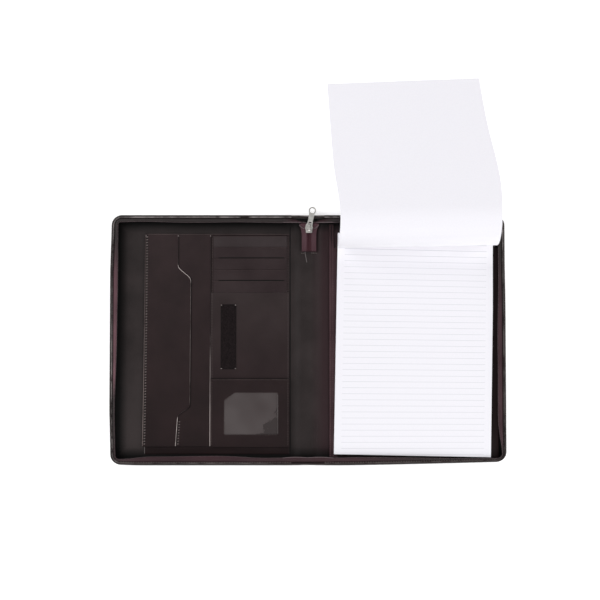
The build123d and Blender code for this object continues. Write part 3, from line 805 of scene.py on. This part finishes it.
# Joined tail of the zip, slider and pull
tail_half, parting, flare_wide = 9.7, 2.8, 3.6
for word, side in cover_sides.items():
    y, t = np.meshgrid(np.linspace(tail_end_y, mouth_y, 24), np.linspace(0, 1, 25), indexing="ij")
    inner = 0.08 + parting * np.clip((y - part_y) / (mouth_y - part_y), 0, 1)
    flare = flare_wide * np.clip((y - 140.0) / 14.5, 0, 1) ** 2.5
    x = inner + (tail_half + flare - inner) * t
    groove = 0.5 * np.exp(-(x / 1.1) ** 2)
    ridges = 0.22 * np.exp(-((x - 3.4) / 0.8) ** 2) + 0.3 * np.exp(-((x - 9.2) / 0.7) ** 2)
    sunk = 0.5 * step(y, 142.0, 155.0)
    z = tail_z + 0.15 - groove + ridges - sunk + 0.05 * np.sin(y / 3.0) + 0.1 * flare * t ** 3
    grid = np.dstack([tail_x + x * side, y, z])
    cloth = thick_sheet(f"zip_tail_cloth_{word}", grid, 0.5, tail_cloth, np.dstack([y, x]))
    place(cloth, "spine", "zip_tape", f"zip_tail_tape_{word}")
    d = np.linspace(0, 1, 14)
    # Light beads along the tail's flared wings: painted highlight on their edges
    wing = line_at(tail_x + side * (7.0 + 6.0 * d), 150.4 + 4.4 * d ** 1.4, tail_z + 0.7 + 1.4 * d ** 2)
    place(bead(f"zip_tail_wing_edge_{word}", 0.4, highlight_hide, wing), "spine", "zip_tape")
    coat(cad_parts[f"zip_tail_teeth_{word}"].data, tooth_plastic)
t, x = np.meshgrid(np.linspace(0, 1, 8), np.linspace(-10, 10, 14), indexing="ij")
grid = np.dstack([tail_x + x, tail_end_y + 0.3 - 0.9 * np.sin(t * pi / 2), tail_z - 4.6 * t ** 2])
tuck = thick_sheet("zip_tail_tucked_end", grid, 0.6, tail_cloth, np.dstack([t * 5, np.abs(x)]))
place(tuck, "spine", "zip_tape", "zip_tail_end")
slit_y = tail_end_y - 2.6
for word, x0, x1 in (("left", -10.5, -6.0), ("right", 3.0, 10.5)):
    x = np.linspace(x0, x1, 6)
    slit = line_at(tail_x + x, slit_y - 0.05 * np.abs(x), 2.35)
    sewn = stitches(f"zip_tail_slit_stitches_{word}", [slit], pale_thread, 2.0, (1.2, 0.6, 0.5))
    place(sewn, "spine", "lining_cloth")
# A raised pleat in the lining below the slit, in light leather: painted highlight on its ridge
d = np.linspace(0, 14, 12)
pleat = line_at(tail_x - 5.6 + 0.19 * d, slit_y + 1.0 - d, 2.2)
place(bead("zip_tail_slit_pleat", 0.45, highlight_hide, pleat), "spine", "lining_cloth")


def shouldered(work):
    """Upper plate of the slider, widest at its middle and drawn in to the shoulders at its mouth."""
    foot, middle, plate_low, plate_high = 146.0, 151.5, 6.7, 7.9
    everything = work.verts[:] + work.edges[:] + work.faces[:]
    bmesh.ops.bisect_plane(work, geom=everything, plane_co=(0, middle * MM, 0), plane_no=(0, 1, 0))
    for vert in work.verts:
        if plate_low < vert.co.z / MM < plate_high:
            wide = np.interp(vert.co.y / MM, [foot, middle, mouth_y], [1.0, 1.12, 0.62])
            vert.co.x = (tail_x + (vert.co.x / MM - tail_x) * wide) * MM


def dressed(name, node, body, width, shape=None):
    """Copy of a CAD solid, reshaped where shape says how, with its edges softened."""
    sharp = 35
    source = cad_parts[node]
    mesh = source.data.copy()
    mesh.transform(source.matrix_world)
    work = bmesh.new()
    work.from_mesh(mesh)
    bmesh.ops.remove_doubles(work, verts=work.verts, dist=1e-5)
    bmesh.ops.dissolve_limit(work, angle_limit=radians(2), verts=work.verts, edges=work.edges)
    if shape:
        shape(work)
    work.to_mesh(mesh)
    work.free()
    coat(mesh, nickel, sharp)
    thing = link(name, mesh)
    soften = thing.modifiers.new("soft_edges", "BEVEL")
    soften.width = width * MM
    soften.segments = 3
    soften.limit_method = "ANGLE"
    soften.angle_limit = radians(sharp)
    place(thing, body, "zip_metal", node)


dressed("zip_slider_body", "slider_body", "zip_slider", 0.22, shouldered)
dressed("zip_pull_tab", "pull_tab", "zip_pull", 0.3)
# A dark plate set into the pull's top face: painted shade in the gap at its joint
gap_shade_at, gap_shade_way, gap_shade_size = np.array([2.95, 158.3, 9.6]), np.array([0.982, -0.191, 0.0]), (3.6, 1.7, 0.5)
place(grains("zip_pull_gap_shade", [gap_shade_at], [gap_shade_way], gap_shade_size, black_and_painted_shade), "zip_pull", "zip_metal")


# Organizer
def left_x(y):
    """Left edge of the organizer, which leans out towards the foot."""
    foot_lean = 2.6
    return left - foot_lean * np.clip((high - y) / (high - low), 0, 1) ** 1.6


def mouth_x(y):
    """Shaped mouth of the document pocket: further right between two slopes, and leaning out at the foot."""
    narrow_x, wider, slope_low = -175.0, 16.9, low + 39.6
    middle = step(y, slope_low, low + 56.0) - step(y, high - 61.5, high - 41.0)
    return narrow_x + (wider + 0.005 * y) * middle - 0.07 * np.clip(slope_low - y, 0, 40.0)


def swell(value, start, end):
    """Half wave between two places, one in the middle."""
    return np.sin((value - start) / (end - start) * pi)


def sew(thing, *nodes, slot="pocket_leather"):
    """Place a piece of the organizer."""
    place(thing, "left_cover", slot, *nodes)


# Heights of the pocket fronts
back_z, middle_z, document_z, panel_z, id_z = 4.8, 6.0, 7.2, 6.3, 7.6
bulge, head_edge = 0.3, high + 1.4


def middle_top(x, y):
    return middle_z + 0.25 * swell(x, left, column)


def document_top(x, y):
    return document_z + bulge * step(x, -190.0, -165.0) * swell(y, low, high)


tall = (low, head_edge)
sew(panel("organizer_back_panel", left_x, right, *tall, back_z, 0.8, pocket_hide, 8.0), "organizer_back")
sew(panel("middle_pocket_front", left_x, column, *tall, middle_top, 1.15, pocket_hide), "middle_pocket")
document = panel("document_pocket_front", left_x, mouth_x, *tall, document_top, 1.15, pocket_hide, 4.0)
sew(document, "document_pocket")
ys = np.linspace(low + 1, head_edge - 1, 120)
mouth_edge = line_at(mouth_x(ys) - 0.6, ys, document_z - 0.05 + bulge * swell(ys, low, high))
column_edge = line_at(column - 0.6, ys, middle_z + 0.05)
sew(bead("document_pocket_rolled_edge", 0.36, mouth_hide, mouth_edge))
sew(bead("middle_pocket_rolled_edge", 0.5, column_hide, column_edge))
tick_pitch, tick_angle = 3.72, -70
ys = np.linspace(low + 2, high - 2, 30)
left_line = line_at(left_x(ys) + 3.0, ys, document_z + 0.05)
ys = np.array([low + 2, low + 36])
mouth_line = line_at(mouth_x(ys) + 2.4, ys, middle_z + 0.2)
# Ticks of thread along the left edge and the mouth's foot, with near-black marks between them: painted shade
# in the stitch holes
for name, size, shift, cotton in (("ticks", (2.6, 1.5, 0.5), 0.0, dark_thread),
                                  ("holes", (2.4, 1.8, 0.4), 0.5, black_and_painted_shade)):
    for edge, line in (("left", left_line), ("mouth", mouth_line)):
        sew(slanted(f"organizer_{edge}_{name}", line, tick_pitch, size, tick_angle, shift, cotton))
ys = np.linspace(low + 1, head_edge - 1, 60)
sew(bead("organizer_left_edge", 0.5, left_edge_hide, line_at(left_x(ys) + 0.5, ys, document_z - 0.3)))
xs = np.linspace(left + 3.0, right - 1.0, 80)
top_z = np.where(xs < mouth_x(high), document_z - 0.1, np.where(xs < column, middle_z, panel_z - 0.1))
sew(bead("organizer_top_edge", 0.3, seam_hide, line_at(xs, head_edge - 0.2, top_z)))
tack_spots = ((left + 1.7, document_z + 0.1), (mouth_x(high) - 0.4, document_z + 0.2),
              (column - 0.4, middle_z + 0.4))
tacks = [line_at([x - 1.1, x + 1.1], head_edge - d, z) for x, z in tack_spots for d in (1.7, 3.2)]
sew(stitches("organizer_top_tacks", tacks, pale_thread, 2.2, (1.7, 0.6, 0.5)))
behind = (mouth_edge + [0.9, 0.0, -0.75], column_edge + [0.8, 0.0, -0.6])
sew(bead("organizer_mouth_shadows", 0.36, black_and_painted_shade, *behind))
foot_low = 14.8 - half_y
sew(panel("organizer_foot_strip", left, right, foot_low, low + 0.5, back_z - 0.1, 0.6, pocket_hide))
# A light bead at the organizer's left foot: painted highlight on its edge
foot_line = line_at(left + 0.4, np.linspace(foot_low + 1, low, 8), back_z - 0.05)
sew(bead("organizer_foot_edge", 0.4, highlight_hide, foot_line))
# A black rod on the lining along the organizer's right edge: painted shade beside that edge
seam_and_shade = line_at(right + 1.0, np.linspace(14.0 - half_y, half_y - 16.0, 60), 3.5)
sew(bead("organizer_right_edge_shade", 0.9, black_and_painted_shade, seam_and_shade), slot="lining_cloth")

# Card pockets: each mouth a step below the one above, two of them lifted open
card_left, card_right, card_step, card_slope = column + 3.4, right - 3.2, 15.3, 0.0392
mouth = high - 1.0 + card_step
for k, lift in enumerate((0.1, 0.15, 0.6, 0.15, 0.6), 1):
    mouth -= card_step

    def bow(x):
        return lift * swell(x, card_left, card_right) ** 0.5

    def card_top(x, y):
        return 5.4 + (y - (mouth - 21.3)) * card_slope + bow(x) * step(y, mouth - 9, mouth)

    def slit_top(x, y):
        return 5.78 + (y - mouth) * card_slope

    # The top card pocket takes the lighter leather, a painted sheen
    card = panel(f"card_pocket_front_{k}", card_left, card_right, mouth - 20.0, mouth, card_top, 0.5,
                 card_hide if k > 1 else first_card_sheen_hide, 4.0, 0.8, 0.5)
    sew(card, f"card_pocket_{k}")
    xs = np.linspace(card_left + 0.6, card_right - 0.6, 40)
    # The lip in the lighter edge leather: painted sheen
    sew(bead(f"card_pocket_lip_{k}", 0.42, edge_hide, line_at(xs, mouth - 0.5, 6.05 + bow(xs))))
    # A near-black sheet at each card pocket's mouth: painted shade in the gap, wider where the pocket is
    # lifted open
    gap = 1.5 if lift > 0.3 else 0.1
    slit = panel(f"card_pocket_slit_{k}", card_left + 7.0, card_right - 4.0, mouth - 0.4, mouth + gap,
                 slit_top, 0.15, black_and_painted_shade, 4.0, 0.1, 0.0)
    sew(slit)
panel_mouth, id_top = mouth - card_step, low + 91.0
sew(panel("card_panel_front", column, right, low, panel_mouth, panel_z, 1.5, panel_hide), "card_panel")
patch_box = np.array([column + 13.7, column + 34.5, id_top + 13.2, panel_mouth - 16.3])
patch = panel("fastening_patch", *patch_box, 7.25, 0.95, pile, 4.0, 0.5, 0.4)
sew(patch, "hook_and_loop_patch", slot="patch")
x0, x1, y0, y1 = patch_box + [0.9, -0.9, 0.9, -0.9]
corners = ((x0, y0), (x1, y0), (x1, y1), (x0, y1))
tacks = [line_at([x - 1.0, x + 1.0], y, 7.45) for x, y in corners]
sew(stitches("fastening_patch_tacks", tacks, pale_thread, 2.0, (1.9, 0.8, 0.5)), slot="patch")
outline = [(x, y, 7.35) for x, y in corners + corners[:1]]
sew(stitches("fastening_patch_stitches", [outline], black_and_painted_shade, 3.0, (2.0, 0.4, 0.3)), slot="patch")


# Identity-card pocket with its window
def holed_panel(name, outlines, top, thick, material):
    """Flat panel with a rim and an opening, edges softened."""
    roll = 0.15
    curve = bpy.data.curves.new(name, "CURVE")
    curve.dimensions = "2D"
    curve.fill_mode = "BOTH"
    curve.extrude = (thick / 2 - roll) * MM
    curve.bevel_depth = roll * MM
    curve.bevel_resolution = 2
    for points in outlines:
        line = curve.splines.new("POLY")
        line.points.add(len(points) - 1)
        for target, (x, y) in zip(line.points, points):
            target.co = (x * MM, y * MM, 0, 1)
        line.use_cyclic_u = True
    flat = link(name + "_outline", curve)
    flat.location.z = (top - thick / 2) * MM
    bpy.context.view_layer.update()
    mesh = bpy.data.meshes.new_from_object(flat.evaluated_get(bpy.context.evaluated_depsgraph_get()))
    mesh.transform(flat.matrix_world)
    bpy.data.objects.remove(flat)
    coat(mesh, material)
    mesh.name = name
    return link(name, mesh)


def round_corners(points, radius):
    """Closed outline with its corners rounded."""
    points = np.array(points, float)
    made = []
    for before, here, after in zip(np.roll(points, 1, axis=0), points, np.roll(points, -1, axis=0)):
        a = here + unit(before - here) * radius
        b = here + unit(after - here) * radius
        for t in np.linspace(0, 1, 5):
            made.append(tuple((1 - t) ** 2 * a + 2 * t * (1 - t) * here + t * t * b))
    return made


def film_top(x, y):
    return 6.9 + 0.18 * np.sin(x / 9.0 + y / 14.0) * np.sin(y / 11.0)


window_wide, window_high, cut_wide, cut_high = 72.8, 56.9, 14.6, 10.2
x0, y1 = column + 18.1, id_top - 18.0
x1, y0 = x0 + window_wide, y1 - window_high
window = round_corners([(x0, y0), (x1, y0), (x1, y1), (x0 + cut_wide, y1), (x0, y1 - cut_high)], 2.0)
pocket = round_corners([(column, low), (right, low), (right, id_top), (column, id_top)], 1.2)
sew(holed_panel("id_pocket_front", (pocket, window), id_z, 1.25, pocket_hide), "id_pocket")
xs = np.linspace(column + 0.8, right - 0.8, 60)
id_lip = line_at(xs, id_top - 0.8, id_z - 0.05 + bulge * swell(xs, column, right))
# The lip and the window's rim in the lighter edge leather: painted sheen
sew(bead("id_pocket_rolled_edge", 0.8, edge_hide, id_lip))
# A near-black bead behind the pocket's lip: painted shade in its mouth
sew(bead("id_pocket_slit", 0.6, black_and_painted_shade, id_lip + [0, 1.1, -1.2]))
# A light bead along the window's right side: painted highlight
bright_side = line_at(x1 - 0.2, np.linspace(y0 + 2, y1 - 3, 20), id_z - 0.1)
sew(bead("id_window_bright_side", 0.4, highlight_hide, bright_side))
sew(bead("id_window_edge", 0.35, edge_hide, [(x, y, id_z - 0.15) for x, y in window + window[:2]]))
pane = panel("id_window_film", x0 - 3, x1 + 3, y0 - 3, y1 + 3, film_top, 0.2, film, 3.0, 0.3, 0.5)
sew(pane, "id_window", slot="clear_film")
ys = np.linspace(low + 2, high - 2, 60)
sewn_z = np.where(ys < id_top, id_z + 0.1, np.where(ys < panel_mouth, panel_z + 0.1, back_z + 0.2))
right_line = line_at(right - 2.0, ys, sewn_z)
sew(stitches("organizer_right_stitches", [right_line], soft_thread))
column_line = right_line + [column - right + 3.8, 0, 0]
sew(stitches("organizer_column_stitches", [column_line], dark_thread, 3.6, (1.8, 0.45, 0.4)))


# Pad holder
holder = (28.6, 256.7, -158.0, 156.9)
holder_left, _, holder_low, holder_high = holder
under = panel("pad_panel_cloth", *holder, 4.8, 0.8, lining_hide, 10.0)
place(under, "right_cover", "pocket_leather", "pad_panel")
sleeve = panel("pad_pocket_front", *holder[:3], 124.9, 6.6, 0.55, pocket_hide, 8.0, 1.0, 0.3)
place(sleeve, "right_cover", "pocket_leather", "pad_pocket")
band = panel("pad_pocket_edge_band", holder_left, holder_left + 6.7, *holder[2:], 7.1, 2.2, band_cloth,
             4.0, 0.7, 0.3)
place(band, "right_cover", "zip_tape", "pad_pocket_band")
flange = panel("pad_pocket_band_flange", holder_left + 6.2, holder_left + 11.0, holder_low, 124.0, 7.05, 0.4,
               band_cloth, 4.0, 0.3, 0.1)
place(flange, "right_cover", "zip_tape")
ys = np.linspace(holder_low + 1, holder_high - 1, 80)
rows = [line_at(holder_left + inset, ys, 7.2) for inset in (1.3, 5.3)]
sewn = stitches("pad_pocket_band_stitches", rows, wine_thread, 3.0, (2.1, 0.5, 0.4))
place(sewn, "right_cover", "zip_tape")


# Writing pad, drawn about its own middle and then turned into place
def on_pad(points):
    c, s = cos(pad_turn), sin(pad_turn)
    x, y, z = np.moveaxis(np.asarray(points, float), -1, 0)
    return np.stack([pad_at[0] + c * x - s * y, pad_at[1] + s * x + c * y, z], axis=-1)


def leaf(name, low_z, high_z, shift, material):
    """Flat layer of sheets with its own small shift, its right side drawn in at the upper end."""
    xs = np.linspace(-pad_half[0], pad_half[0], 9) + shift[0]
    ys = np.linspace(-pad_half[1], pad_half[1] - head_gap, 13) + shift[1]
    y, x = np.meshgrid(ys, xs, indexing="ij")
    x = x - 1.1 * step(x, 40.0, 105.0) * step(y, 40.0, 140.0)
    top, under = (on_pad(np.dstack([x, y, np.full_like(x, z)])) for z in (high_z, low_z))
    uv = np.dstack([x, pad_half[1] - y]).reshape(-1, 2)
    return make(name, *closed_sheet(top, under), material, np.tile(uv, (2, 1)))


layers, head_gap = 8, 0.4
levels = np.linspace(7.3, page_z - 0.25, layers + 1)
for k in range(layers):
    shift = chance.uniform(-0.25, 0.25, 2) * [1, 0.6]
    piece = leaf(f"pad_leaves_{k + 1}", levels[k] + 0.02, levels[k + 1] - 0.03, shift, plain_paper)
    place(piece, "writing_pad", "paper", *(["pad_sheets"] if k == 0 else []))
page = leaf("pad_top_page", page_z - 0.24, page_z, (0.0, 0.0), ruled_paper)
place(page, "writing_pad", "paper")
sheet_wide, sheet_long = 2 * pad_half
coat(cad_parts["pad_backing_board"].data, grey_board)
xs = np.linspace(-pad_half[0], pad_half[0], 30)
cap = [(-7.5, 5.95), (-7.5, 6.4), (-0.2, 7.0), (-0.2, page_z + 0.1), (0.25, page_z + 0.1),
       (0.45, page_z - 0.4), (0.45, 5.0), (0.1, 4.9), (0.05, 5.95)]
verts = on_pad([(x, pad_half[1] + y, z) for x in xs for y, z in cap])
head_tape = make("pad_head_tape", verts, section_faces(len(xs), len(cap)), plain_paper)
place(head_tape, "writing_pad", "pad_tape", "pad_binding")


# Sheets turned back over the head: one smooth curl, split in the middle of each strip
bends, bend_angle, skew, root = [0.0, 22.0, 51.0, 80.0], radians(49.9), radians(2.0), 6.0
left_swing, right_swing = (5.0, 100.0, 45.0), (7.4, 140.0, 65.0)
far_reach, far_tilt, far_draw, far_shift = 3.1, 0.95, 0.008, 1.6
sheet_thick, root_y = 0.5, pad_half[1] - root
sheet_z = page_z + 0.3 + sheet_thick / 2
run = np.linspace(-40.0, 330.0, 3701)
turn = bend_angle * sum((run >= bend_at).astype(float) for bend_at in bends)
round_half = np.interp(run, [-root, 7.0, 51.0, 80.0], [1.0, 14.0, 14.0, 24.0])


def rounded(slope):
    """One side of the bent line of strips, its corners rounded by a running mean, and zero at the root."""
    spacing = run[1] - run[0]
    total = np.cumsum(np.cumsum(slope) * spacing) * spacing
    ahead, behind = (np.interp(run + way * round_half, run, total) for way in (1, -1))
    line = (ahead - behind) / (2 * round_half)
    return line - np.interp(-root, run, line)


reach, rise = rounded(np.cos(turn)) - root, rounded(np.sin(turn))


def curled(x, y):
    """Place in space of a point of the flat sheets, drawn about the pad's middle."""
    away = (root_y - y + x * tan(skew)) * cos(skew)
    beside = x * cos(skew) + (y - root_y) * sin(skew)
    share = x / pad_half[0]
    loose = np.clip((away - 90.0) / 200.0, 0, 1) ** 2
    drawn = away + loose * (far_reach - far_tilt * share)
    a = np.interp(drawn, run, reach)
    z = np.maximum(sheet_z + np.interp(drawn, run, rise), 0.3)
    beside = beside * (1 - far_draw * loose) - far_shift * loose
    for weight, (size, middle, wide) in ((0.5 - share / 2, left_swing), (0.5 + share / 2, right_swing)):
        beside = beside + weight * size * np.exp(-((away - middle) / wide) ** 2) * np.clip(away / 30.0, 0, 1)
    px = beside * cos(skew) + a * sin(skew)
    py = root_y + beside * sin(skew) - a * cos(skew)
    return on_pad(np.stack([px, py, z], axis=-1))


strips = ["writing_pad", "sheet_curl_1", "sheet_curl_2", "sheet_curl_3", "sheet_flap"]
cuts = [-root, 11.0, 36.5, 65.5, sheet_long - root]
nodes_of = [["turned_sheets_root", "turned_sheets_1"], ["turned_sheets_2"], ["turned_sheets_3"],
            ["turned_sheets_flap"]]
for k, nodes in enumerate(nodes_of):
    length = cuts[k + 1] - cuts[k]
    t, x = np.meshgrid(np.linspace(0, 1, max(14, int(length / 2.0))),
                       np.linspace(-pad_half[0], pad_half[0], 41), indexing="ij")
    straight = (cuts[0], cuts[-1])
    near, far = (cut if cut in straight else cut / cos(skew) - x * tan(skew) for cut in cuts[k:k + 2])
    y = root_y - near - (far - near) * t
    uv = np.dstack([x, y])
    piece = thick_sheet(f"turned_sheets_part_{k + 1}", curled(x, y), sheet_thick, turned_paper, uv)
    before, after = (10.0, 10.0) if k else (6.0, 6.0)
    if strips[k + 1] == "sheet_flap":
        after += 12.0
    places = [tuple(curled(np.array(0.0), np.array(root_y - bends[k] + d)) * MM) for d in (before, -after)]
    bend(piece, strips[k:k + 2], places, "paper", *nodes)


# Floor, light and camera, in metres
floor_half, floor_drop = 3, 0.0003
floor_mesh = bpy.data.meshes.new("floor")
floor_corners = [(x * floor_half, y * floor_half, 0) for x, y in ((-1, -1), (1, -1), (1, 1), (-1, 1))]
floor_mesh.from_pydata(floor_corners, [], [(0, 1, 2, 3)])
floor = link("floor", floor_mesh)
floor.location.z = -floor_drop
look = Finish("floor_look", 0.9)
look.base(look.tones(look.noise(3.0), (0.93, 0.93, 0.93, 1), (0.95, 0.95, 0.95, 1)))
look.set("Emission Color", (1, 1, 1, 1))
look.set("Emission Strength", 0.35)
coat(floor_mesh, look)


def area_light(name, spot, aim, size, power):
    lamp = bpy.data.lights.new(name, "AREA")
    lamp.shape = "SQUARE"
    lamp.size = size
    lamp.energy = power
    thing = link(name, lamp)
    thing.location = spot
    thing.rotation_euler = (Vector(aim) - Vector(spot)).to_track_quat("-Z", "Y").to_euler()


area_light("key", (-1.5, 0.7, 1.3), (0, 0, 0), 1.5, 24)
area_light("fill", (1.6, 0.2, 1.3), (0, 0, 0), 1.5, 21)
area_light("front", (0.0, -1.7, 1.2), (0, 0, 0), 1.5, 27)
area_light("back", (0.0, 1.8, 1.0), (0, 0.1, 0), 1.2, 7)
scene = bpy.context.scene
scene.world = bpy.data.worlds.new("studio")
scene.world.use_nodes = True
sky = scene.world.node_tree.nodes["Background"].inputs
sky["Color"].default_value = (1, 1, 1, 1)
sky["Strength"].default_value = 0.22
scene.view_settings.view_transform = "Standard"

aim, distance, tilt, view_angle = Vector((-0.0107, 0.0535, 0.012)), 1.3, radians(1.8), radians(34.5)
lens = bpy.data.cameras.new("photo_camera")
lens.sensor_width = 36
lens.lens = lens.sensor_width / 2 / tan(view_angle / 2)
camera = link("photo_camera", lens)
camera.location = aim + Vector((0, -sin(tilt), cos(tilt))) * distance
camera.rotation_euler = (tilt, 0, 0)
scene.camera = camera
